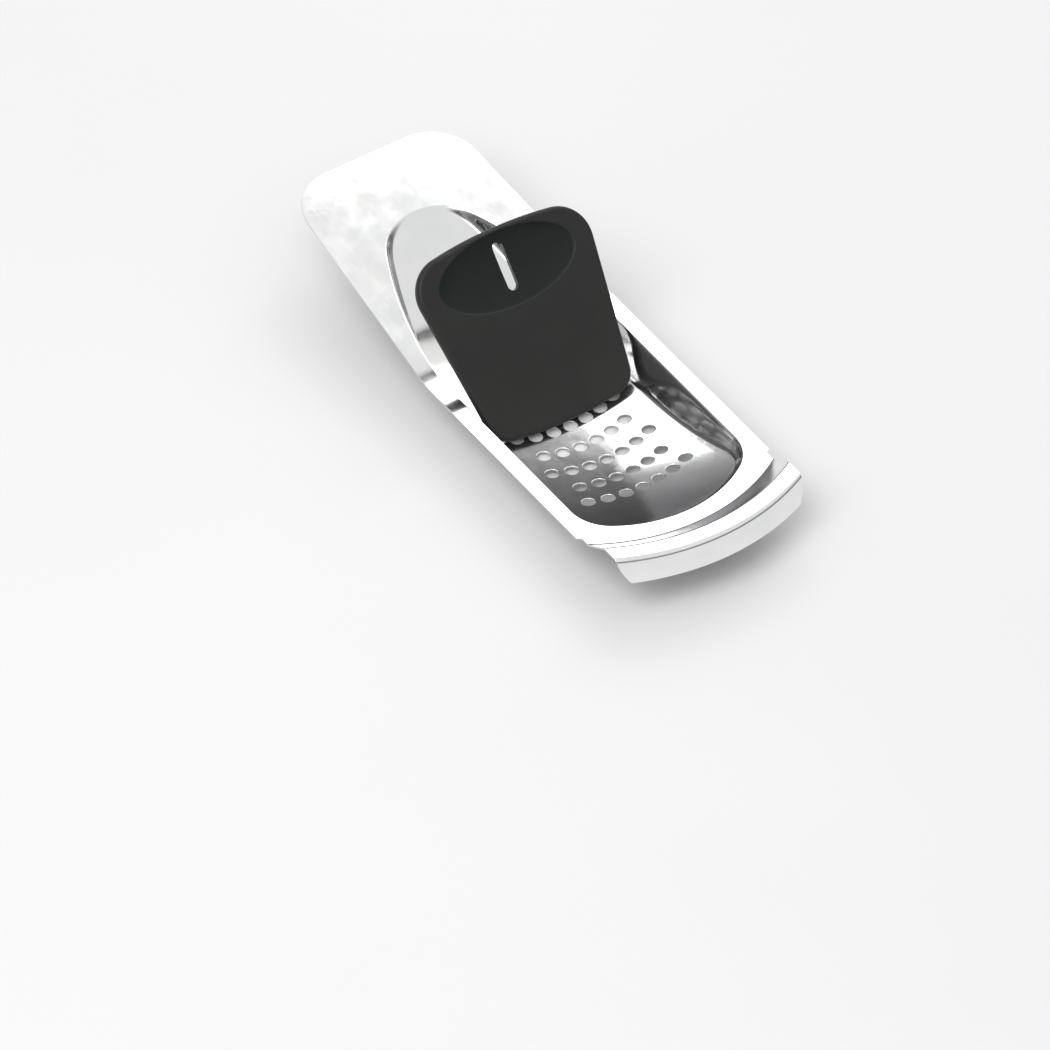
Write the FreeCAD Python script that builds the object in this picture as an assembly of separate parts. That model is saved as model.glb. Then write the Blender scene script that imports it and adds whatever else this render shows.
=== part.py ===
import FreeCAD, Part
import math
import os

# A spaetzle maker: a perforated steel tray that hooks over the rim of a pot,
# and a loose plastic scraper that is pushed along the tray's trough by hand.
# X runs along the tray towards the hook, Y across it, Z up.
# The origin is under the middle of the tray's length, at its lowest point.

# ---- tray: sheet and plan ----
sheet = 0.8
tray_length = 274.0          # handle end to the outer edge of the hook
tray_width = 98.0            # across the side flanges, over the straight stretch
end_arc_radius = 86.0        # the flange's end, where the hook starts
handle_length = 120.0        # tapered, rising stretch that the hand holds
handle_taper = 3.5           # degrees, each side
handle_rise = 8.5            # degrees, above the side flanges
handle_corner = 22.0         # radius of the handle's corners

# ---- tray: trough ----
trough_depth = 20.0          # flange top to floor, on the centre line
floor_radius = 250.0         # the floor is slightly hollow across
wall_angle = 75.0            # degrees from level
front_step = 1.0             # wall left at the mouth's front, where the floor has risen
ramp_run = 58.6              # from the mouth's narrow end to the foot of the ramp
ramp_bend = 60.0             # radius between the floor and the ramp

# ---- tray: the trough's mouth, in plan ----
side_flange = 8.0            # flat strip on each side of the mouth
mouth_gap = 8.5              # from the end arc, on the centre line
mouth_front_radius = 58.0
mouth_corner = 20.0          # radius of the two corners nearest the hook
grip = 37.4                  # plain sheet between the mouth and the handle's end
mouth_side_radius = 176.0    # of the narrowing sides
mouth_tip_radius = 25.0

# ---- tray: hook ----
hook_reach = 21.5            # end arc to the hook's outer edge
riser_run = 10.0
ridge_height = 7.0           # above the flange's top
ridge_width = 8.0
lip_drop = 11.0             # ridge to the lip's foot
shoulder_drop = 6.8          # ridge to the fold where the lip gets steeper
lip_lean = 1.0               # how far the lip's foot stands out
hook_inset = 2.0             # the hook's ends, in from the tray's sides
fold_round = 1.5             # outside radius of the hook's folds

# ---- tray: perforation ----
hole_diameter = 6.3
hole_pitch = 8.2             # across
row_pitch = 13.6             # along
row_arc_radius = 65.0        # each row bows towards the hook
side_margin = 8.0            # from the floor's edge to the middle of the outer holes, at least
ramp_margin = 12.0           # from the foot of the ramp to the last row, at least
first_row = 41.6             # from the end arc to the row nearest the hook

# ---- scraper: sizes on its face are measured up from the blade ----
scraper_place = 24.6         # blade at rest, ahead of where the mouth narrows
scraper_lean = 43.0          # degrees from upright, its top towards the handle
scraper_height = 88.0
scraper_thickness = 5.0
scraper_round = 1.9          # rounding of its edges
blade_gap = 1.1              # from the blade's ends to the floor's edges
side_flare = 7.4             # degrees, each side
blade_corner = 10.0
top_corner = 16.0
top_crown = 220.0            # radius of the top edge
finger_margin = 9.6          # hollow for the fingertips, in from the side edges
finger_height = 33.0
finger_place = 70.0          # its centre
finger_depth = 1.4
slot_width = 5.0             # hanging slot
slot_length = 22.0
slot_place = 71.0            # its centre
clearance = 0.4              # scraper to trough

# ---- where things lie ----
end_arc_x = tray_length / 2 - hook_reach
end_arc_centre = end_arc_x - end_arc_radius
back_x = -tray_length / 2
handle_x = back_x + handle_length
mouth_x = end_arc_x - mouth_gap
mouth_width = tray_width - 2 * side_flange
side_y = mouth_width / 2 - mouth_side_radius
tip_x = back_x + grip
tip_centre_x = tip_x + mouth_tip_radius
narrow_x = tip_centre_x + math.sqrt((mouth_side_radius - mouth_tip_radius) ** 2 - side_y ** 2)
ramp_x = tip_x + ramp_run
blade_x = narrow_x + scraper_place
floor_z = sheet
floor_width = mouth_width - 2 * trough_depth / math.tan(math.radians(wall_angle))
blade_width = floor_width - 2 * blade_gap
finger_width = blade_width + 2 * finger_place * math.tan(math.radians(side_flare))
side_holes = int((floor_width / 2 - side_margin) / hole_pitch)
long_row = 2 * side_holes + 1    # long rows and rows of one hole fewer take turns
row_count = 1 + int((end_arc_x - first_row - ramp_x - ramp_margin) / row_pitch)
top_z = floor_z + trough_depth
front_rise = trough_depth - front_step
front_run = mouth_x - blade_x
stroke_radius = (front_run ** 2 + front_rise ** 2) / (2 * front_rise)
rise = math.radians(handle_rise)
lean = math.radians(scraper_lean)
deep = 60.0                  # how far cutting bodies run past the sheet

Y = FreeCAD.Vector(0, 1, 0)
Z = FreeCAD.Vector(0, 0, 1)


def vec(x, y, z=0.0):
    return FreeCAD.Vector(x, y, z)


def line(a, b):
    return Part.LineSegment(a, b).toShape()


def arc(a, middle, b):
    return Part.Arc(a, middle, b).toShape()


def arc_about(centre, radius, start, end, z):
    """Arc at height z about a centre in plan, between two angles in radians."""
    points = []
    for angle in (start, (start + end) / 2, end):
        points.append(vec(centre[0] + radius * math.cos(angle), centre[1] + radius * math.sin(angle), z))
    return arc(*points)


def face(edges):
    return Part.Face(Part.Wire(edges))


def polygon(points):
    return Part.Face(Part.makePolygon(points + [points[0]]))


# ---- the trough's walls ----
def mouth_outline(inset, z):
    """The mouth's outline in plan, moved in by inset and set at height z."""
    half = mouth_width / 2 - inset
    r_front = mouth_front_radius - inset
    r_corner = mouth_corner - inset
    r_side = mouth_side_radius - inset
    r_tip = mouth_tip_radius - inset
    front_x = mouth_x - mouth_front_radius
    corner_y = half - r_corner
    corner_x = front_x + math.sqrt((r_front - r_corner) ** 2 - corner_y ** 2)
    turn = math.asin(corner_y / (r_front - r_corner))
    swing = math.atan2(-side_y, tip_centre_x - narrow_x)
    square = math.pi / 2
    edges = [
        arc_about((front_x, 0), r_front, -turn, turn, z),
        arc_about((corner_x, corner_y), r_corner, turn, square, z),
        line(vec(corner_x, half, z), vec(narrow_x, half, z)),
        arc_about((narrow_x, side_y), r_side, square, swing, z),
        arc_about((tip_centre_x, 0), r_tip, swing, 2 * math.pi - swing, z),
        arc_about((narrow_x, -side_y), r_side, -swing, -square, z),
        line(vec(narrow_x, -half, z), vec(corner_x, -half, z)),
        arc_about((corner_x, -corner_y), r_corner, -square, -turn, z),
    ]
    return Part.Wire(edges)


def between_walls(outset):
    """The space between the trough's walls, with the walls moved out."""
    slope = math.radians(wall_angle)
    out = outset / math.sin(slope)
    low = floor_z - 2 * sheet
    inset = (top_z - low) / math.tan(slope)
    lower = Part.makeLoft([mouth_outline(inset - out, low), mouth_outline(-out, top_z)], True, True)
    upper = Part.Face(mouth_outline(-out, top_z)).extrude(Z * deep)
    return lower.fuse(upper)


# ---- the trough's floor ----
def bend(corner, before, after, radius):
    """Start, middle and end of an arc that rounds a corner of a path."""
    turn = before.getAngle(after)
    reach = radius * math.tan(turn / 2)
    inward = (after - before).normalize()
    centre = corner + inward * (radius / math.cos(turn / 2))
    return corner - before * reach, centre - inward * radius, corner + after * reach


def on_stroke(angle):
    """Point of the floor's centre line, this far up the curve ahead of the scraper."""
    return vec(blade_x + stroke_radius * math.sin(angle), 0, floor_z + stroke_radius * (1 - math.cos(angle)))


def above_floor(drop):
    """Everything above the trough's floor, with the floor lowered by drop."""
    tip_z = top_z + (handle_x - tip_x) * math.tan(rise)
    far = math.asin(front_run / stroke_radius) + math.radians(12)
    up = vec(tip_x - ramp_x, 0, tip_z - floor_z).normalize()
    ramp_foot = vec(ramp_x, 0, floor_z)
    ramp_arc = bend(ramp_foot, vec(-1, 0, 0), up, ramp_bend)
    end = ramp_foot + up * (2 * deep)
    start = on_stroke(far)
    runs = [arc(start, on_stroke(far / 2), on_stroke(0)), line(on_stroke(0), ramp_arc[0])]
    runs += [arc(*ramp_arc), line(ramp_arc[2], end)]
    upward = vec(-math.sin(far), 0, math.cos(far))
    half = 0.7 * mouth_width
    radius = floor_radius + drop
    centre = start + upward * floor_radius
    depth = math.sqrt(radius ** 2 - half ** 2)
    left = centre + Y * half - upward * depth
    right = centre - Y * half - upward * depth
    lid = start + upward * (0.8 * ramp_bend)
    section = [
        arc(left, centre - upward * radius, right),
        line(right, lid - Y * half),
        line(lid - Y * half, lid + Y * half),
        line(lid + Y * half, left),
    ]
    return Part.Wire(runs).makePipeShell([Part.Wire(section)], True, True)


def trough(outset):
    return above_floor(outset).common(between_walls(outset))


# ---- flange, with its rising handle ----
def slab(top, bottom):
    """The space between two offsets from the flange's top face."""
    run = vec(-math.cos(rise), 0, math.sin(rise)) * (2 * handle_length)
    points = []
    for offset in (top, bottom):
        corner = vec(handle_x + offset * math.tan(rise / 2), -tray_width, top_z + offset)
        far = vec(tray_length, -tray_width, top_z + offset)
        points.append([far, corner, corner + run])
    return polygon(points[0] + points[1][::-1]).extrude(Y * (2 * tray_width))


def plan_body():
    """The flange's outline, as an upright body."""
    half = tray_width / 2
    narrow = half - handle_length * math.tan(math.radians(handle_taper))
    side_x = end_arc_centre + math.sqrt(end_arc_radius ** 2 - half ** 2)
    edges = [
        arc(vec(side_x, -half), vec(end_arc_x, 0), vec(side_x, half)),
        line(vec(side_x, half), vec(handle_x, half)),
        line(vec(handle_x, half), vec(back_x, narrow)),
        line(vec(back_x, narrow), vec(back_x, -narrow)),
        line(vec(back_x, -narrow), vec(handle_x, -half)),
        line(vec(handle_x, -half), vec(side_x, -half)),
    ]
    body = face(edges).extrude(Z * (2 * deep))
    return body.makeFillet(handle_corner, upright_edges_at(body, back_x))


def upright_edges_at(body, x):
    found = []
    for edge in body.Edges:
        box = edge.BoundBox
        if box.ZLength > deep and abs(box.Center.x - x) < 0.01 and box.XLength < 0.01:
            found.append(edge)
    return found


# ---- hook ----
def hook_folds(reach):
    """Fold lines of the hook's upper side, as radius and height."""
    r_riser = end_arc_radius + riser_run
    r_ridge = r_riser + ridge_width
    r_lip = end_arc_radius + reach
    z_ridge = top_z + ridge_height
    overlap = end_arc_radius - 2 * sheet
    return [
        vec(overlap, 0, top_z),
        vec(end_arc_radius, 0, top_z),
        vec(r_riser, 0, z_ridge),
        vec(r_ridge, 0, z_ridge),
        vec(r_lip - lip_lean, 0, z_ridge - shoulder_drop),
        vec(r_lip, 0, z_ridge - lip_drop),
    ]


def lower_side(folds):
    """The same fold lines on the sheet's under side."""
    low = []
    for k, point in enumerate(folds):
        before = folds[max(k, 1)] - folds[max(k, 1) - 1]
        last = min(k, len(folds) - 2)
        after = folds[last + 1] - folds[last]
        normal = vec(before.z, 0, -before.x).normalize()
        middle = (normal + vec(after.z, 0, -after.x).normalize()).normalize()
        low.append(point + middle * (sheet / middle.dot(normal)))
    return low


def make_hook():
    folds = hook_folds(hook_reach)
    ring = polygon(folds + lower_side(folds)[::-1]).revolve(vec(0, 0), Z, 360)
    folded = [edge for edge in ring.Edges if is_outer_fold(edge, folds)]
    ring = ring.makeFillet(fold_round, folded)
    ring.translate(vec(end_arc_centre, 0))
    width = tray_width - 2 * hook_inset
    window = Part.makeBox(end_arc_radius, width, 2 * deep)
    window.translate(vec(end_arc_centre + end_arc_radius / 2, -width / 2, -deep))
    return ring.common(window)


def is_outer_fold(edge, folds):
    """Whether an edge is one of the ridge's two folds or the lip's shoulder."""
    if not hasattr(edge.Curve, "Radius"):
        return False
    for fold in folds[2:5]:
        if abs(edge.Curve.Radius - fold.x) < 0.001 and abs(edge.BoundBox.ZMax - fold.z) < 0.001:
            return True
    return False


# ---- tray ----
def perforation():
    holes = []
    for row in range(row_count):
        count = long_row - row % 2
        row_centre = end_arc_x - first_row - row * row_pitch - row_arc_radius
        for k in range(count):
            y = (k - (count - 1) / 2) * hole_pitch
            x = row_centre + math.sqrt(row_arc_radius ** 2 - y ** 2)
            holes.append(Part.makeCylinder(hole_diameter / 2, deep, vec(x, y, -deep / 2)))
    return Part.Compound(holes)


def make_tray():
    flange = slab(0, -sheet).common(plan_body())
    bowl = trough(sheet).common(slab(0, -deep))
    tray = flange.fuse([make_hook(), bowl]).removeSplitter()
    tray = tray.cut(trough(0))
    return tray.cut(perforation())


# ---- scraper ----
def blank(half_blade, height):
    """The scraper's outline made solid, upright, with its blade at the origin."""
    flare = math.tan(math.radians(side_flare))
    blade_radius = floor_radius * math.cos(lean)
    half_top = half_blade + height * flare
    low = blade_radius - math.sqrt(blade_radius ** 2 - half_blade ** 2)
    crown = top_crown - math.sqrt(top_crown ** 2 - half_top ** 2)
    shoulder = height - crown
    half_low = half_blade + low * flare
    half_shoulder = half_blade + shoulder * flare
    back = -scraper_thickness / 2
    edges = [
        arc(vec(back, -half_low, low), vec(back, 0, 0), vec(back, half_low, low)),
        line(vec(back, half_low, low), vec(back, half_shoulder, shoulder)),
        arc(vec(back, half_shoulder, shoulder), vec(back, 0, height), vec(back, -half_shoulder, shoulder)),
        line(vec(back, -half_shoulder, shoulder), vec(back, -half_low, low)),
    ]
    return face(edges).extrude(vec(scraper_thickness, 0))


def cross_edges(body, low, high):
    """Edges that run through the thickness, between two heights."""
    found = []
    for edge in body.Edges:
        box = edge.BoundBox
        if box.XLength > 0.9 * scraper_thickness and box.YLength < 0.01 and low < box.Center.z < high:
            found.append(edge)
    return found


def face_edges(body):
    """Edges around the two faces."""
    limit = scraper_thickness / 2 - 0.01
    return [edge for edge in body.Edges if edge.BoundBox.XLength < 0.01 and abs(edge.BoundBox.Center.x) > limit]


def finger_hollow(side):
    hollow = Part.makeSphere(1.0)
    stretch = FreeCAD.Matrix()
    stretch.scale(finger_depth, finger_width / 2 - finger_margin, finger_height / 2)
    hollow = hollow.transformGeometry(stretch)
    hollow.translate(vec(side * scraper_thickness / 2, 0, finger_place))
    return hollow


def hanging_slot():
    straight = slot_length - slot_width
    slot = Part.makeBox(2 * scraper_thickness, slot_width, straight)
    slot.translate(vec(-scraper_thickness, -slot_width / 2, slot_place - straight / 2))
    ends = []
    for end in (-straight / 2, straight / 2):
        foot = vec(-scraper_thickness, 0, slot_place + end)
        ends.append(Part.makeCylinder(slot_width / 2, 2 * scraper_thickness, foot, vec(1, 0)))
    return slot.fuse(ends)


def make_scraper():
    body = blank(blade_width / 2, scraper_height)
    middle = scraper_height / 2
    body = body.makeFillet(blade_corner, cross_edges(body, -1, middle))
    body = body.makeFillet(top_corner, cross_edges(body, middle, scraper_height + 1))
    body = body.makeFillet(scraper_round, face_edges(body))
    body = body.cut(finger_hollow(1)).cut(finger_hollow(-1))
    body = body.cut(hanging_slot())
    flat = scraper_thickness / 2 - scraper_round
    dip = flat * math.sin(lean) + scraper_round * (1 - math.cos(lean))
    body.rotate(vec(0, 0), Y, -scraper_lean)
    body.translate(vec(blade_x, 0, floor_z + clearance + dip))
    return body


os.makedirs("parts", exist_ok=True)
make_tray().exportStep("parts/tray.step")
make_scraper().exportStep("parts/scraper.step")
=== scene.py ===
import math

import bpy
import numpy as np
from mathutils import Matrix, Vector
from mathutils.geometry import delaunay_2d_cdt


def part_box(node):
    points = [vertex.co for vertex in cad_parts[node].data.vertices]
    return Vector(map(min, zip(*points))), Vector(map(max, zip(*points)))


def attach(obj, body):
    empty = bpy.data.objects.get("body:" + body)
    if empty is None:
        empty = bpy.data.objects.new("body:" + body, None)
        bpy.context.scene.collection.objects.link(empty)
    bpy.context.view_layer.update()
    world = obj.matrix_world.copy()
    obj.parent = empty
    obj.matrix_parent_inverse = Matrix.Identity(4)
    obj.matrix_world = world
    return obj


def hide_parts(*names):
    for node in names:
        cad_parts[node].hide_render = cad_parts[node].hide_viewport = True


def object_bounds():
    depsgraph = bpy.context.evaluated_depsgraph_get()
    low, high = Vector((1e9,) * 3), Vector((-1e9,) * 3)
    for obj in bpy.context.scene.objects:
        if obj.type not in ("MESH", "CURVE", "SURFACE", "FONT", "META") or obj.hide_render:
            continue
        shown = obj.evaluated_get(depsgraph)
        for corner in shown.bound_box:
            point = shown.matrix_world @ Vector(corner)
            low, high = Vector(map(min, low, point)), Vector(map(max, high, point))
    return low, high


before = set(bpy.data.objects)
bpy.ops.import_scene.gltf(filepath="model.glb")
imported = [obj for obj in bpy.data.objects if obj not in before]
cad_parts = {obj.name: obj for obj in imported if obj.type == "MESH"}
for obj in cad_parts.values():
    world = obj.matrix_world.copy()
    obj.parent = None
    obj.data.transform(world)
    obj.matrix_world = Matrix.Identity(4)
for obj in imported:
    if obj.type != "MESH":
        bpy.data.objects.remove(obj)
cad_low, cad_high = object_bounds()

# A spaetzle maker: a pressed steel tray with a perforated trough, and its plastic scraper.
# The tray's shape is made here and the scraper's is the CAD model's.
# Lengths are in millimetres until a mesh is made. MM turns them into metres.
MM = 0.001

# ---- the tray's box, from the frame ----
tray_low, tray_high = (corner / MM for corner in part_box("tray"))
BACK_X = tray_low.x
HOOK_X = tray_high.x
HALF_WIDTH = (tray_high.y - tray_low.y) / 2
LOWEST_Z = tray_low.z

# ---- the tray's sheet ----
SHEET = 0.8
TROUGH_DEPTH = 20.0
FLOOR_Z = LOWEST_Z + SHEET
TOP_Z = FLOOR_Z + TROUGH_DEPTH
FLOOR_RADIUS = 250.0         # the floor's hollow across the trough
FLOOR_ARC_END = 0.9          # part of its radius at which the floor's arc stops rising
WALL_SLOPE = math.tan(math.radians(75.0))
WALL_REACH = 20.0            # the walls' faces carry on this far outside the mouth
CREASE_BLEND = 5.0           # softens the fold between floor and wall
RIM_BLEND = 3.2              # softens the fold between wall and flange
EDGE_ROUND = 0.22            # the cut edges, brushed smooth

HOOK_REACH = 21.5
END_ARC_RADIUS = 86.0
END_ARC_X = HOOK_X - HOOK_REACH
ARC_CENTRE = END_ARC_X - END_ARC_RADIUS
RISER_RUN = 10.0
RIDGE_HEIGHT = 7.0
RIDGE_WIDTH = 8.0
LIP_DROP = 11.0
LIP_LEAN = 1.0
SHOULDER_DROP = 6.8
HOOK_LEAD = 4.0              # flat stretch before the hook's first fold
FOLD_RADII = [2.2, 2.6, 2.2, 1.8]
HOOK_INSET = 2.0             # each side of the hook, in from the tray's side
INSET_X = END_ARC_X - 19.0   # where the tray's sides start to draw in to the hook
INSET_RUN = 7.0
LIP_TAPER = 4.0              # each end of the lip's foot, in from the hook's side

HANDLE_LENGTH = 120.0
HANDLE_X = BACK_X + HANDLE_LENGTH
HANDLE_TAPER = math.radians(3.5)
HANDLE_RISE = math.radians(8.5)
HANDLE_BEND = 60.0
HANDLE_CORNER = 22.0

MOUTH_HALF = 41.0
MOUTH_GAP = 8.5              # from the mouth's front to the hook
MOUTH_X = END_ARC_X - MOUTH_GAP
FRONT_RADIUS = 58.0
CORNER_RADIUS = 20.0
SIDE_RADIUS = 176.0
TIP_RADIUS = 25.0
GRIP = 37.4                  # plain sheet behind the mouth
TIP_X = BACK_X + GRIP
TIP_CENTRE = TIP_X + TIP_RADIUS
SIDE_Y = MOUTH_HALF - SIDE_RADIUS
NARROW_X = TIP_CENTRE + math.sqrt((SIDE_RADIUS - TIP_RADIUS) ** 2 - SIDE_Y ** 2)
BLADE_PLACE = 24.6           # ahead of where the mouth narrows
BLADE_X = NARROW_X + BLADE_PLACE
RAMP_RUN = 58.6
RAMP_X = TIP_X + RAMP_RUN
RAMP_BEND = 60.0
FRONT_STEP = 1.0             # the floor ends this far below the front rim
FRONT_RISE = TROUGH_DEPTH - FRONT_STEP
STROKE_RADIUS = ((MOUTH_X - BLADE_X) ** 2 + FRONT_RISE ** 2) / (2 * FRONT_RISE)

HOLE_RADIUS = 3.15
HOLE_EDGE = HOLE_RADIUS + EDGE_ROUND
HOLE_PITCH = 8.2
ROW_PITCH = 13.6
ROW_ARC_RADIUS = 65.0
ROW_COUNT = 8
LONG_ROW = 7
FIRST_ROW = 41.6

# ---- the scraper's finger hollow, where its colour is darkened with painted shade ----
SCRAPER_LEAN = math.radians(43.0)
SCRAPER_LIFT = 1.8           # the scraper's foot over the floor
FINGER_PLACE = 70.0          # from the scraper's foot to the hollow's middle
FINGER_UP = 16.6             # half the hollow's height
FINGER_OUT = 34.1            # half its width
HOLLOW_X = BLADE_X - FINGER_PLACE * math.sin(SCRAPER_LEAN)
HOLLOW_Z = FLOOR_Z + SCRAPER_LIFT + FINGER_PLACE * math.cos(SCRAPER_LEAN)

# ---- the mesh's spacing ----
FINE = 0.4                   # on folds
COARSE = 2.4                 # on plain stretches
FOLD_LIMIT = 0.01            # a larger change of slope counts as a fold
NEAR_EDGE = 0.4              # inner points keep this far from every edge
MERGE = 1e-5                 # points closer than this are one
RIM_BAND = (-1.4, 2.2)       # lines that follow the mouth, from outside it to inside
RIM_CLEAR = 0.2              # the grid's points keep this far from those lines
RIM_LINES = 19
RIM_STEP = 0.9               # between the points along each line
RING_ANGLE = 0.013           # between the points along each of the hook's folds
RING_CLEAR = 1.2             # those points keep this far from the hook's sides
HOOK_STEP = 1.5              # between points across the hook's folds
FOLD_POINTS = 7              # round each of the hook's folds
END_STEP = 2.0               # between points along the handle's end
SIDE_STEP = 1.5              # between points along the sides and the lip
SIDE_CLEAR = 0.5             # the last side point keeps this far from the hook
CORNER_POINTS = 24           # round each of the handle's corners
HOLE_POINTS = 36             # round each hole
SLOPE_STEP = 0.01            # either side of a point whose slope is measured
ON_CENTRE_LINE = 0.01
ANGLE_SLACK = 1e-9


def on_circle(x, y, radius, angle):
    return x + radius * math.cos(angle), y + radius * math.sin(angle)


# ---- the mouth's outline: tangent arcs, the same on both sides of the centre line ----
front_c = MOUTH_X - FRONT_RADIUS
corner_y = MOUTH_HALF - CORNER_RADIUS
corner_x = front_c + math.sqrt((FRONT_RADIUS - CORNER_RADIUS) ** 2 - corner_y ** 2)
turn = math.asin(corner_y / (FRONT_RADIUS - CORNER_RADIUS))
swing = math.atan2(-SIDE_Y, TIP_CENTRE - NARROW_X)
MOUTH_ARCS = [
    (front_c, 0.0, FRONT_RADIUS, 0.0, turn),
    (corner_x, corner_y, CORNER_RADIUS, turn, math.pi / 2),
    (NARROW_X, SIDE_Y, SIDE_RADIUS, math.pi / 2, swing),
    (TIP_CENTRE, 0.0, TIP_RADIUS, swing, math.pi),
]


def inside_mouth(x, y):
    """Distance in from the mouth's outline, below zero outside it."""
    y = np.abs(y)
    straight = (x >= NARROW_X) & (x <= corner_x)
    depth = np.where(straight, MOUTH_HALF - y, np.inf)
    for cx, cy, radius, start, end in MOUTH_ARCS:
        angle = np.arctan2(y - cy, x - cx)
        here = (angle >= start - ANGLE_SLACK) & (angle <= end + ANGLE_SLACK)
        depth = np.where(here, np.minimum(depth, radius - np.hypot(x - cx, y - cy)), depth)
    return depth


def mouth_line(inset):
    """Points along the mouth's outline, moved in by inset, on both sides."""
    points = []
    for cx, cy, radius, start, end in MOUTH_ARCS:
        for angle in np.linspace(start, end, 2 + round((end - start) * radius / RIM_STEP)):
            points.append(on_circle(cx, cy, radius - inset, angle))
    for x in np.linspace(NARROW_X, corner_x, 2 + round((corner_x - NARROW_X) / RIM_STEP))[1:-1]:
        points.append((x, MOUTH_HALF - inset))
    points = np.unique(np.round(points, 6), axis=0)
    other = points[points[:, 1] > ON_CENTRE_LINE] * np.array([1, -1])
    return np.concatenate([points[points[:, 1] > -ON_CENTRE_LINE], other])


# ---- the pressed sheet's upper face, as a height over its plan ----
def bent(u, angle, radius):
    """Height of a level line that turns up by an angle at u = 0, with a rounded bend."""
    reach = radius * math.tan(angle / 2)
    arc = radius - np.sqrt(np.maximum(radius ** 2 - np.maximum(u + reach, 0) ** 2, 0))
    rising = np.maximum(u, 0) * math.tan(angle)
    return np.where(u < -reach, 0.0, np.where(u < reach * math.cos(angle), arc, rising))


def soft_max(a, b, blend):
    """The larger of two heights, with the corner where they cross rounded."""
    overlap = np.maximum(blend - np.abs(a - b), 0) / blend
    return np.maximum(a, b) + overlap ** 2 * blend / 4


def rounded_line(points, radii, step):
    """A folded line with its inner corners rounded, as closely spaced points."""
    out = [np.array(points[0])]
    for k in range(1, len(points) - 1):
        a, p, b = (np.array(points[i]) for i in (k - 1, k, k + 1))
        before = (p - a) / np.linalg.norm(p - a)
        after = (b - p) / np.linalg.norm(b - p)
        angle = math.acos(np.clip(before @ after, -1, 1))
        reach = radii[k - 1] * math.tan(angle / 2)
        inward = (after - before) / np.linalg.norm(after - before)
        centre = p + inward * (radii[k - 1] / math.cos(angle / 2))
        start = p - before * reach - centre
        side = before[0] * after[1] - before[1] * after[0]
        for t in np.linspace(0, math.copysign(angle, side), FOLD_POINTS):
            c, s = math.cos(t), math.sin(t)
            turned = (c * start[0] - s * start[1], s * start[0] + c * start[1])
            out.append(centre + np.array(turned))
    out.append(np.array(points[-1]))
    line = [out[0]]
    for p in out[1:]:
        count = max(1, round(np.linalg.norm(p - line[-1]) / step))
        line += [line[-1] + (p - line[-1]) * (i + 1) / count for i in range(count)]
    return np.array(line)


# The hook's section: distance from the arc's centre and height over the flange.
r_riser = END_ARC_RADIUS + RISER_RUN
r_ridge = r_riser + RIDGE_WIDTH
r_lip = END_ARC_RADIUS + HOOK_REACH - EDGE_ROUND
HOOK_LINE = rounded_line(
    [
        (END_ARC_RADIUS - HOOK_LEAD, 0),
        (END_ARC_RADIUS, 0),
        (r_riser, RIDGE_HEIGHT),
        (r_ridge, RIDGE_HEIGHT),
        (r_lip - LIP_LEAN, RIDGE_HEIGHT - SHOULDER_DROP),
        (r_lip, RIDGE_HEIGHT - LIP_DROP + EDGE_ROUND),
    ],
    FOLD_RADII,
    HOOK_STEP,
)
HOOK_RUN = np.concatenate([[0], np.cumsum(np.linalg.norm(np.diff(HOOK_LINE, axis=0), axis=1))])


def laid_flat(points, back=False):
    """Plan points with the folded hook laid out flat, or folded up again."""
    flat = HOOK_LINE[0, 0] + HOOK_RUN
    before, after = (flat, HOOK_LINE[:, 0]) if back else (HOOK_LINE[:, 0], flat)
    from_centre = points - np.array([ARC_CENTRE, 0])
    radius = np.hypot(*from_centre.T)
    on_hook = (from_centre[:, 0] > 0) & (radius > HOOK_LINE[0, 0])
    scale = np.where(on_hook, np.interp(radius, before, after) / radius, 1.0)
    return from_centre * scale[:, None] + np.array([ARC_CENTRE, 0])


def flange_height(x, y):
    """The sheet without its trough: flanges, handle end and hook."""
    radius = np.hypot(x - ARC_CENTRE, y)
    hook = np.where(x > ARC_CENTRE, np.interp(radius, HOOK_LINE[:, 0], HOOK_LINE[:, 1]), 0.0)
    return TOP_Z + bent(HANDLE_X - x, HANDLE_RISE, HANDLE_BEND) + hook


def sheet_height(x, y):
    """The sheet's upper face: the flange, and the floor and walls where they lie below it."""
    flange = flange_height(x, y)
    tip_z = TOP_Z + (HANDLE_X - TIP_X) * math.tan(HANDLE_RISE)
    ramp_angle = math.atan((tip_z - FLOOR_Z) / (RAMP_X - TIP_X))
    ahead = np.clip(x - BLADE_X, 0, FLOOR_ARC_END * STROKE_RADIUS)
    floor = FLOOR_Z + y ** 2 / (2 * FLOOR_RADIUS) + bent(RAMP_X - x, ramp_angle, RAMP_BEND)
    floor = floor + STROKE_RADIUS - np.sqrt(STROKE_RADIUS ** 2 - ahead ** 2)
    wall = flange - np.maximum(inside_mouth(x, y), -WALL_REACH) * WALL_SLOPE
    trough = soft_max(floor, wall, CREASE_BLEND)
    return -soft_max(-flange, -trough, RIM_BLEND)


def sheet_normals(x, y):
    """Normals of the upper face: the hook's from its folded line, the rest from the heights."""
    h = SLOPE_STEP
    slope_x = (sheet_height(x + h, y) - sheet_height(x - h, y)) / (2 * h)
    slope_y = (sheet_height(x, y + h) - sheet_height(x, y - h)) / (2 * h)
    radius = np.hypot(x - ARC_CENTRE, y)
    on_hook = (x > ARC_CENTRE) & (radius > HOOK_LINE[0, 0])
    step = np.gradient(HOOK_LINE, axis=0)
    along = np.interp(radius, HOOK_LINE[:, 0], step[:, 0])
    fall = np.interp(radius, HOOK_LINE[:, 0], step[:, 1])
    slope = fall / along
    slope_x = np.where(on_hook, slope * (x - ARC_CENTRE) / radius, slope_x)
    slope_y = np.where(on_hook, slope * y / radius, slope_y)
    normals = np.stack([-slope_x, -slope_y, np.ones_like(x)], 1)
    return normals / np.linalg.norm(normals, axis=1)[:, None]


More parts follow.
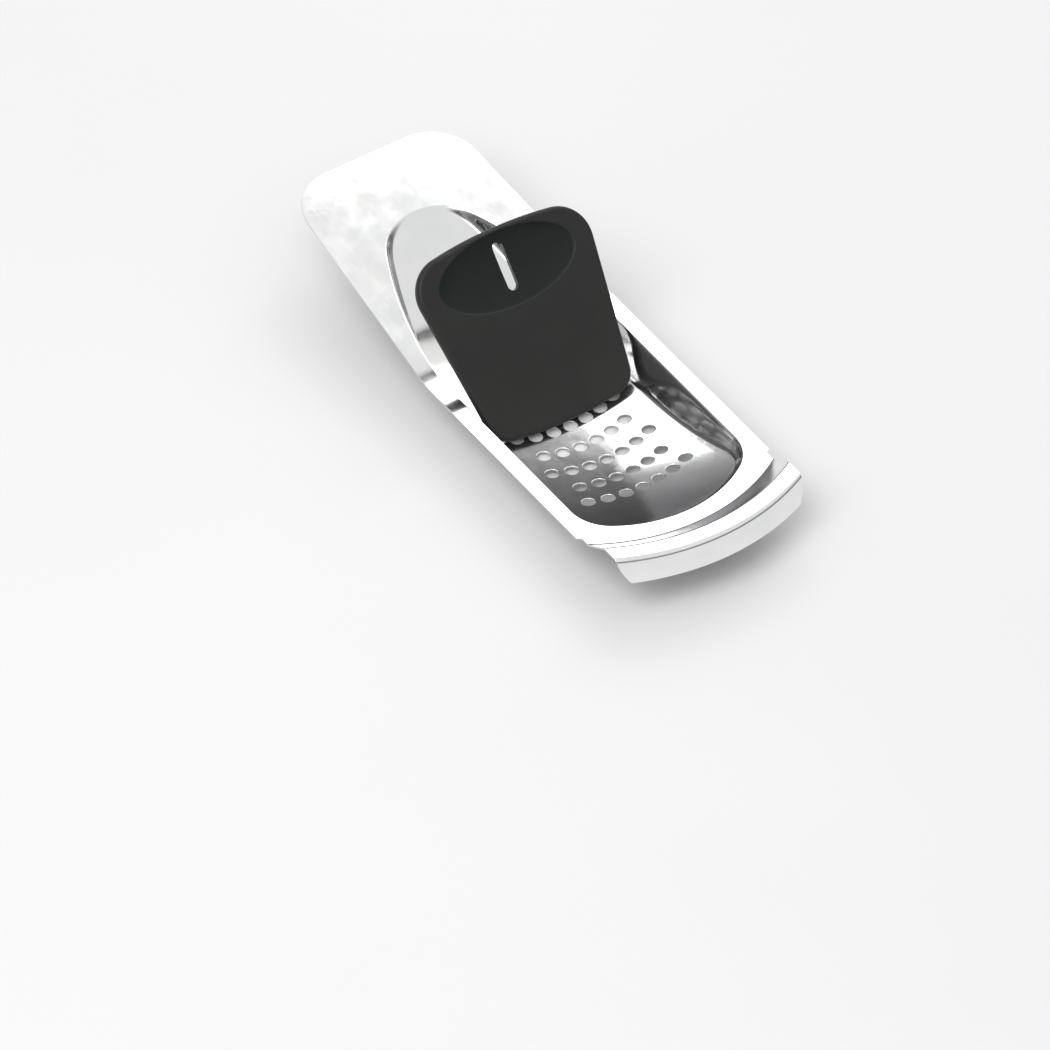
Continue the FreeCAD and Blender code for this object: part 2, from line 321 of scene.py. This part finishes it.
# ---- the sheet's outline in plan ----
def side_of_tray(x):
    """Half width of the tray at x, up to the hook."""
    taper = np.maximum(HANDLE_X - x, 0) * math.tan(HANDLE_TAPER)
    t = np.clip((x - INSET_X) / INSET_RUN, 0, 1)
    return HALF_WIDTH - EDGE_ROUND - taper - HOOK_INSET * t * t * (3 - 2 * t)


def hook_sides():
    """Half width of the hook at each point of its folded line."""
    fall = np.maximum((HOOK_RUN - HOOK_RUN[-1]) / LIP_DROP + 1, 0)
    return HALF_WIDTH - EDGE_ROUND - HOOK_INSET - LIP_TAPER * fall ** 2


def outline():
    """One side of the outline, from the handle end round to the lip's middle."""
    end_x = BACK_X + EDGE_ROUND + SHEET * math.sin(HANDLE_RISE)
    centre_x = end_x + HANDLE_CORNER
    centre_y = side_of_tray(centre_x) - HANDLE_CORNER / math.cos(HANDLE_TAPER)
    points = [(end_x, y) for y in np.arange(0, centre_y, END_STEP)]
    for angle in np.linspace(math.pi, math.pi / 2 + HANDLE_TAPER, CORNER_POINTS):
        points.append(on_circle(centre_x, centre_y, HANDLE_CORNER, angle))
    sides = hook_sides()
    meet_x = ARC_CENTRE + math.sqrt(HOOK_LINE[0, 0] ** 2 - sides[0] ** 2)
    for x in np.arange(points[-1][0] + SIDE_STEP, meet_x - SIDE_CLEAR, SIDE_STEP):
        points.append((x, float(side_of_tray(x))))
    for (radius, _), y in zip(HOOK_LINE, sides):
        x = ARC_CENTRE + math.sqrt(radius ** 2 - y ** 2)
        if x < INSET_X + INSET_RUN:
            y = min(y, float(side_of_tray(x)))
        points.append((x, y))
    lip_radius = HOOK_LINE[-1, 0]
    last = math.asin(points[-1][1] / lip_radius)
    count = int(last * lip_radius / SIDE_STEP)
    for angle in np.linspace(last, 0, count + 1)[1:]:
        points.append(on_circle(ARC_CENTRE, 0.0, lip_radius, angle))
    return np.array(points)


def closed_outline():
    half = outline()
    other = half[1:-1][::-1] * np.array([1, -1])
    return np.concatenate([half, other])[::-1]


def hole_centres():
    centres = []
    for row in range(ROW_COUNT):
        count = LONG_ROW - row % 2
        middle = END_ARC_X - FIRST_ROW - row * ROW_PITCH - ROW_ARC_RADIUS
        for k in range(count):
            y = (k - (count - 1) / 2) * HOLE_PITCH
            centres.append((middle + math.sqrt(ROW_ARC_RADIUS ** 2 - y ** 2), y))
    return np.array(centres)


def inside_polygon(polygon, points):
    x, y = points[:, 0:1], points[:, 1:2]
    a, b = polygon, np.roll(polygon, -1, axis=0)
    spans = (a[:, 1] > y) != (b[:, 1] > y)
    with np.errstate(divide="ignore", invalid="ignore"):
        cross_x = (b[:, 0] - a[:, 0]) * (y - a[:, 1]) / (b[:, 1] - a[:, 1]) + a[:, 0]
    return (spans & (x < cross_x)).sum(1) % 2 == 1


def near_polygon(polygon, points, reach):
    a, b = polygon, np.roll(polygon, -1, axis=0)
    near = np.zeros(len(points), bool)
    for p, q in zip(a, b):
        d = q - p
        t = np.clip(((points - p) @ d) / (d @ d), 0, 1)
        near |= np.hypot(*(points - (p + t[:, None] * d)).T) < reach
    return near


def inner_points(border, holes):
    """The mesh's points: a grid, close together on folds, and lines along the rim and the hook.

    The border and the points returned have the hook laid flat.
    """
    n = round(COARSE / FINE)
    xs = np.arange(BACK_X, HOOK_X, FINE)
    ys = np.arange(-HALF_WIDTH, HALF_WIDTH, FINE)
    i, j = np.meshgrid(np.arange(len(xs)), np.arange(len(ys)), indexing="ij")
    gx, gy = xs[i], ys[j]
    h = FINE
    middle = 2 * sheet_height(gx, gy)
    bend_x = sheet_height(gx + h, gy) + sheet_height(gx - h, gy) - middle
    bend_y = sheet_height(gx, gy + h) + sheet_height(gx, gy - h) - middle
    folded = np.abs(bend_x) + np.abs(bend_y) > FOLD_LIMIT
    plain = (i % n == 0) & (j % n == 0)
    off_hook = np.hypot(gx - ARC_CENTRE, gy) < HOOK_LINE[0, 0]
    off_hook |= gx < ARC_CENTRE
    depth = inside_mouth(gx, gy)
    by_rim = (depth > RIM_BAND[0] - RIM_CLEAR) & (depth < RIM_BAND[1] + RIM_CLEAR)
    keep = (folded | plain) & off_hook & ~by_rim
    points = np.stack([gx[keep], gy[keep]], 1)
    rings = [mouth_line(inset) for inset in np.linspace(*RIM_BAND, RIM_LINES)]
    for radius, side in zip(HOOK_LINE[:-1, 0], hook_sides()):
        count = int(math.asin((side - RING_CLEAR) / radius) / RING_ANGLE)
        angles = RING_ANGLE * np.arange(-count, count + 1)
        ring = [ARC_CENTRE + radius * np.cos(angles), radius * np.sin(angles)]
        rings.append(np.stack(ring, 1))
    points = laid_flat(np.concatenate([points] + rings))
    points = points[inside_polygon(border, points)]
    points = points[~near_polygon(border, points, NEAR_EDGE)]
    for centre in holes:
        away = np.hypot(*(points - centre).T)
        points = points[away > HOLE_EDGE + NEAR_EDGE]
    return points


def make_sheet():
    """The upper face's plan points and triangles, with the holes left open."""
    border = laid_flat(closed_outline())
    holes = hole_centres()
    coords = [tuple(p) for p in border]
    edges = [(k, (k + 1) % len(border)) for k in range(len(border))]
    for centre in holes:
        first = len(coords)
        for k in range(HOLE_POINTS):
            coords.append(on_circle(*centre, HOLE_EDGE, 2 * math.pi * k / HOLE_POINTS))
            edges.append((first + k, first + (k + 1) % HOLE_POINTS))
    coords += [tuple(p) for p in inner_points(border, holes)]
    coords = [Vector(c) for c in coords]
    verts, _, tris, _, _, _ = delaunay_2d_cdt(coords, edges, [], 0, MERGE)
    flat = np.array([(v.x, v.y) for v in verts])
    tris = np.array(tris)
    a, b, c = flat[tris[:, 0]], flat[tris[:, 1]], flat[tris[:, 2]]
    turns = (b[:, 0] - a[:, 0]) * (c[:, 1] - a[:, 1]) - (b[:, 1] - a[:, 1]) * (c[:, 0] - a[:, 0])
    tris[turns < 0] = tris[turns < 0][:, ::-1]
    middle = (a + b + c) / 3
    keep = inside_polygon(border, middle)
    for centre in holes:
        keep &= np.hypot(*(middle - centre).T) > HOLE_RADIUS + 0.5 * EDGE_ROUND
    tris = tris[keep]
    used = np.unique(tris)
    renumber = np.zeros(len(flat), int)
    renumber[used] = np.arange(len(used))
    return laid_flat(flat[used], back=True), renumber[tris]


def thick_sheet():
    """Both faces of the sheet, joined round every cut edge by a small rounding."""
    plan, tris = make_sheet()
    x, y = plan.T
    upper = np.stack([x, y, sheet_height(x, y)], 1)
    normal = sheet_normals(x, y)
    count = len(plan)
    pairs = {}
    for t in tris:
        for p, q in ((t[0], t[1]), (t[1], t[2]), (t[2], t[0])):
            pairs[(p, q)] = True
    rim = [(p, q) for p, q in pairs if (q, p) not in pairs]
    outward = {}
    for p, q in rim:
        side = np.cross(upper[q] - upper[p], normal[p])
        side = side / np.linalg.norm(side)
        outward[p] = outward.get(p, 0) + side
        outward[q] = outward.get(q, 0) + side
    rim_verts = sorted(outward)
    slot_of = {v: k for k, v in enumerate(rim_verts)}
    out = np.array([outward[v] for v in rim_verts])
    out = out / np.linalg.norm(out, axis=1)[:, None]
    top = upper[rim_verts]
    n = normal[rim_verts]
    e = EDGE_ROUND
    s = math.sqrt(0.5)
    # Across the cut edge: reach outward, drop, and the normal's outward and upward parts.
    stations = [
        (e * s, e * (1 - s), s, s),
        (e, e, 1, 0),
        (e, SHEET - e, 1, 0),
        (e * s, SHEET - e * (1 - s), s, -s),
    ]
    points = [upper, upper - normal * SHEET]
    normals = [normal, -normal]
    for reach, drop, along, up in stations:
        points.append(top + out * reach - n * drop)
        normals.append(out * along + n * up)
    points = np.concatenate(points)
    normals = np.concatenate(normals)
    faces = [tuple(t) for t in tris] + [tuple(t[::-1] + count) for t in tris]
    m = len(rim_verts)
    for p, q in rim:
        a, b = slot_of[p], slot_of[q]
        left = [p] + [2 * count + k * m + a for k in range(len(stations))] + [p + count]
        right = [q] + [2 * count + k * m + b for k in range(len(stations))] + [q + count]
        for k in range(len(stations) + 1):
            faces.append((left[k], left[k + 1], right[k + 1], right[k]))
    return points, normals, faces


def make_tray():
    points, normals, faces = thick_sheet()
    mesh = bpy.data.meshes.new("pressed_tray")
    mesh.from_pydata((points * MM).tolist(), [], [tuple(int(i) for i in f) for f in faces])
    mesh.update()
    mesh.shade_smooth()
    mesh.normals_split_custom_set_from_vertices(normals.tolist())
    tray = bpy.data.objects.new("pressed_tray", mesh)
    bpy.context.scene.collection.objects.link(tray)
    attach(tray, "tray")
    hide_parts("tray")
    return tray


# ---- materials ----
STEEL_PALE = (0.88, 0.88, 0.87, 1)
STEEL_GREY = (0.80, 0.805, 0.81, 1)
PLASTIC_DARK = (0.013, 0.0137, 0.0125, 1)
PLASTIC_PALE = (0.018, 0.0187, 0.017, 1)
# painted shade: the finger hollow's colours, darker than the rest of the plastic to stand for
# shade in the recess
HOLLOW_SHADE_DARK = (0.002, 0.0048, 0.004, 1)
HOLLOW_SHADE_PALE = (0.004, 0.007, 0.006, 1)
PLASTIC_IOR = 1.40
FLOOR_DARK = (0.71, 0.71, 0.71, 1)
FLOOR_PALE = (0.76, 0.76, 0.76, 1)


class Nodes:
    """A short way to add and join a material's nodes."""

    def __init__(self, name):
        self.material = bpy.data.materials.new(name)
        self.material.use_nodes = True
        self.tree = self.material.node_tree
        self.shader = self.tree.nodes["Principled BSDF"]

    def add(self, kind, values=None, **settings):
        node = self.tree.nodes.new("ShaderNode" + kind)
        for key, value in settings.items():
            setattr(node, key, value)
        for key, value in (values or {}).items():
            if isinstance(value, bpy.types.NodeSocket):
                self.tree.links.new(value, node.inputs[key])
            else:
                node.inputs[key].default_value = value
        return node

    def join(self, output, socket):
        self.tree.links.new(output, self.shader.inputs[socket])

    def noise(self, place, scale, detail, roughness, stretch=None):
        if stretch:
            place = self.add("Mapping", {"Vector": place, "Scale": stretch}).outputs["Vector"]
        values = {"Vector": place, "Scale": scale, "Detail": detail, "Roughness": roughness}
        return self.add("TexNoise", values).outputs["Fac"]

    def span(self, value, low, high, to_low=0.0, to_high=1.0):
        values = {"Value": value, "From Min": low, "From Max": high}
        values.update({"To Min": to_low, "To Max": to_high})
        return self.add("MapRange", values).outputs["Result"]

    def math(self, operation, a, b):
        node = self.add("Math", operation=operation)
        for socket, value in zip(node.inputs, (a, b)):
            if isinstance(value, bpy.types.NodeSocket):
                self.tree.links.new(value, socket)
            else:
                socket.default_value = value
        return node.outputs["Value"]

    def mix(self, factor, a, b):
        # A Mix node's colour sockets: inputs 6 and 7, output 2.
        return self.add("Mix", {0: factor, 6: a, 7: b}, data_type="RGBA").outputs[2]

    def hollow(self, place):
        """1 inside the scraper's finger hollow and 0 outside it, with a soft edge."""
        middle = (HOLLOW_X * MM, 0.0, HOLLOW_Z * MM)
        moved = self.add("VectorMath", {0: place, 1: middle}, operation="SUBTRACT")
        spread = (1 / MM / FINGER_UP, 1 / MM / FINGER_OUT, 1 / MM / FINGER_UP)
        values = {0: moved.outputs["Vector"], 1: spread}
        scaled = self.add("VectorMath", values, operation="MULTIPLY")
        reach = self.add("VectorMath", {0: scaled.outputs["Vector"]}, operation="LENGTH")
        return self.span(reach.outputs["Value"], 0.97, 1.0, to_low=1.0, to_high=0.0)

    def bump(self, height, distance, strength=1.0, under=None):
        values = {"Height": height, "Distance": distance, "Strength": strength}
        if under:
            values["Normal"] = under
        return self.add("Bump", values).outputs["Normal"]


def steel_material():
    m = Nodes("polished_steel")
    place = m.add("TexCoord").outputs["Object"]
    cloud = m.noise(place, scale=28.0, detail=4.0, roughness=0.6)
    smear = m.noise(place, scale=90.0, detail=5.0, roughness=0.65)
    scratch = m.noise(place, 1.0, detail=4.0, roughness=0.7, stretch=(40.0, 2600.0, 600.0))
    cross = m.noise(place, 1.0, detail=3.0, roughness=0.7, stretch=(1500.0, 60.0, 60.0))
    m.shader.inputs["Metallic"].default_value = 1.0
    m.join(m.mix(m.span(cloud, 0.3, 0.7), STEEL_PALE, STEEL_GREY), "Base Color")
    smeared = m.span(smear, 0.35, 0.75, to_low=0.09, to_high=0.16)
    scratched = m.span(scratch, 0.55, 0.8, to_high=0.10)
    crossed = m.span(cross, 0.62, 0.8, to_high=0.05)
    rough = m.math("ADD", smeared, scratched)
    m.join(m.math("ADD", rough, crossed), "Roughness")
    wave = m.noise(place, scale=16.0, detail=1.0, roughness=0.4)
    waved = m.bump(wave, distance=0.0006)
    m.join(m.bump(scratch, distance=0.000004, under=waved), "Normal")
    return m.material


def plastic_material():
    m = Nodes("black_plastic")
    place = m.add("TexCoord").outputs["Object"]
    cloud = m.noise(place, scale=35.0, detail=4.0, roughness=0.6)
    grain = m.noise(place, scale=2600.0, detail=2.0, roughness=0.5)
    scuff = m.noise(place, 1.0, detail=4.0, roughness=0.7, stretch=(500.0, 60.0, 900.0))
    patch = m.span(cloud, 0.3, 0.7)
    plain = m.mix(patch, PLASTIC_DARK, PLASTIC_PALE)
    # painted shade: the finger hollow's darker colour
    hollow_shade = m.mix(patch, HOLLOW_SHADE_DARK, HOLLOW_SHADE_PALE)
    hollow = m.hollow(place)
    m.join(m.mix(hollow, plain, hollow_shade), "Base Color")
    clouded = m.span(cloud, 0.3, 0.7, to_low=0.46, to_high=0.56)
    scuffed = m.span(scuff, 0.6, 0.8, to_high=0.12)
    rough = m.math("ADD", clouded, scuffed)
    smoother = m.math("MULTIPLY", hollow, 0.12)
    m.join(m.math("SUBTRACT", rough, smoother), "Roughness")
    m.join(m.bump(grain, distance=0.00005, strength=0.5), "Normal")
    m.shader.inputs["IOR"].default_value = PLASTIC_IOR
    return m.material


# ---- stage, light and camera, in metres unless MM says otherwise ----
FLOOR_HALF = 3.0
FLOOR_GAP = 0.0002           # from the model's lowest point to the floor
# Light from all round: its height, from straight down to straight up, and its colour.
SKY = [
    (0.12, (0.16, 0.16, 0.165, 1)),
    (0.42, (0.46, 0.46, 0.47, 1)),
    (0.62, (0.87, 0.87, 0.87, 1)),
]
AZIMUTH = math.radians(56.0)
ELEVATION = math.radians(43.2)
DISTANCE = 6.0
AIM = ((END_ARC_X - 38.4) * MM, -62.1 * MM, TOP_Z * MM)
SENSOR_WIDTH = 36.0
FOCAL_LENGTH = 492.8


def make_floor():
    mesh = bpy.data.meshes.new("floor")
    around = [(-1, -1), (1, -1), (1, 1), (-1, 1)]
    corners = [(x * FLOOR_HALF, y * FLOOR_HALF, 0) for x, y in around]
    mesh.from_pydata(corners, [], [(0, 1, 2, 3)])
    floor = bpy.data.objects.new("floor", mesh)
    floor.location.z = cad_low[2] - FLOOR_GAP
    bpy.context.scene.collection.objects.link(floor)
    m = Nodes("pale_floor")
    place = m.add("TexCoord").outputs["Object"]
    cloud = m.noise(place, scale=3.0, detail=4.0, roughness=0.5)
    m.join(m.mix(cloud, FLOOR_DARK, FLOOR_PALE), "Base Color")
    m.shader.inputs["Roughness"].default_value = 0.75
    mesh.materials.append(m.material)


def area_light(name, place, size, power):
    """A rectangular light that faces the origin."""
    data = bpy.data.lights.new(name, "AREA")
    data.shape = "RECTANGLE"
    data.size, data.size_y = size
    data.energy = power
    light = bpy.data.objects.new(name, data)
    light.location = place
    light.rotation_euler = (-Vector(place)).to_track_quat("-Z", "Y").to_euler()
    bpy.context.scene.collection.objects.link(light)


def make_world():
    world = bpy.data.worlds.new("studio")
    world.use_nodes = True
    tree = world.node_tree
    place = tree.nodes.new("ShaderNodeTexCoord")
    split = tree.nodes.new("ShaderNodeSeparateXYZ")
    ramp = tree.nodes.new("ShaderNodeValToRGB")
    tree.links.new(place.outputs["Generated"], split.inputs[0])
    tree.links.new(split.outputs["Z"], ramp.inputs["Fac"])
    stops = ramp.color_ramp.elements
    stops[0].position, stops[0].color = SKY[0]
    stops[1].position, stops[1].color = SKY[-1]
    for height, colour in SKY[1:-1]:
        stops.new(height).color = colour
    background = tree.nodes["Background"]
    tree.links.new(ramp.outputs["Color"], background.inputs["Color"])
    background.inputs["Strength"].default_value = 1.0
    bpy.context.scene.world = world


def make_camera():
    look = Vector((
        -math.sin(AZIMUTH) * math.cos(ELEVATION),
        math.cos(AZIMUTH) * math.cos(ELEVATION),
        -math.sin(ELEVATION),
    ))
    data = bpy.data.cameras.new("camera")
    data.sensor_width = SENSOR_WIDTH
    data.lens = FOCAL_LENGTH
    camera = bpy.data.objects.new("camera", data)
    camera.location = Vector(AIM) - look * DISTANCE
    camera.rotation_euler = look.to_track_quat("-Z", "Y").to_euler()
    bpy.context.scene.collection.objects.link(camera)
    bpy.context.scene.camera = camera


tray = make_tray()
tray.data.materials.append(steel_material())
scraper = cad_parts["scraper"]
plastic = plastic_material()
for slot in scraper.material_slots:
    slot.material = plastic

bpy.context.scene.view_settings.view_transform = "Standard"
make_floor()
make_world()
area_light("key", place=(0.4, -0.9, 1.5), size=(1.2, 1.2), power=15)
area_light("back", place=(-1.0, 0.9, 1.1), size=(1.6, 0.8), power=9)
make_camera()
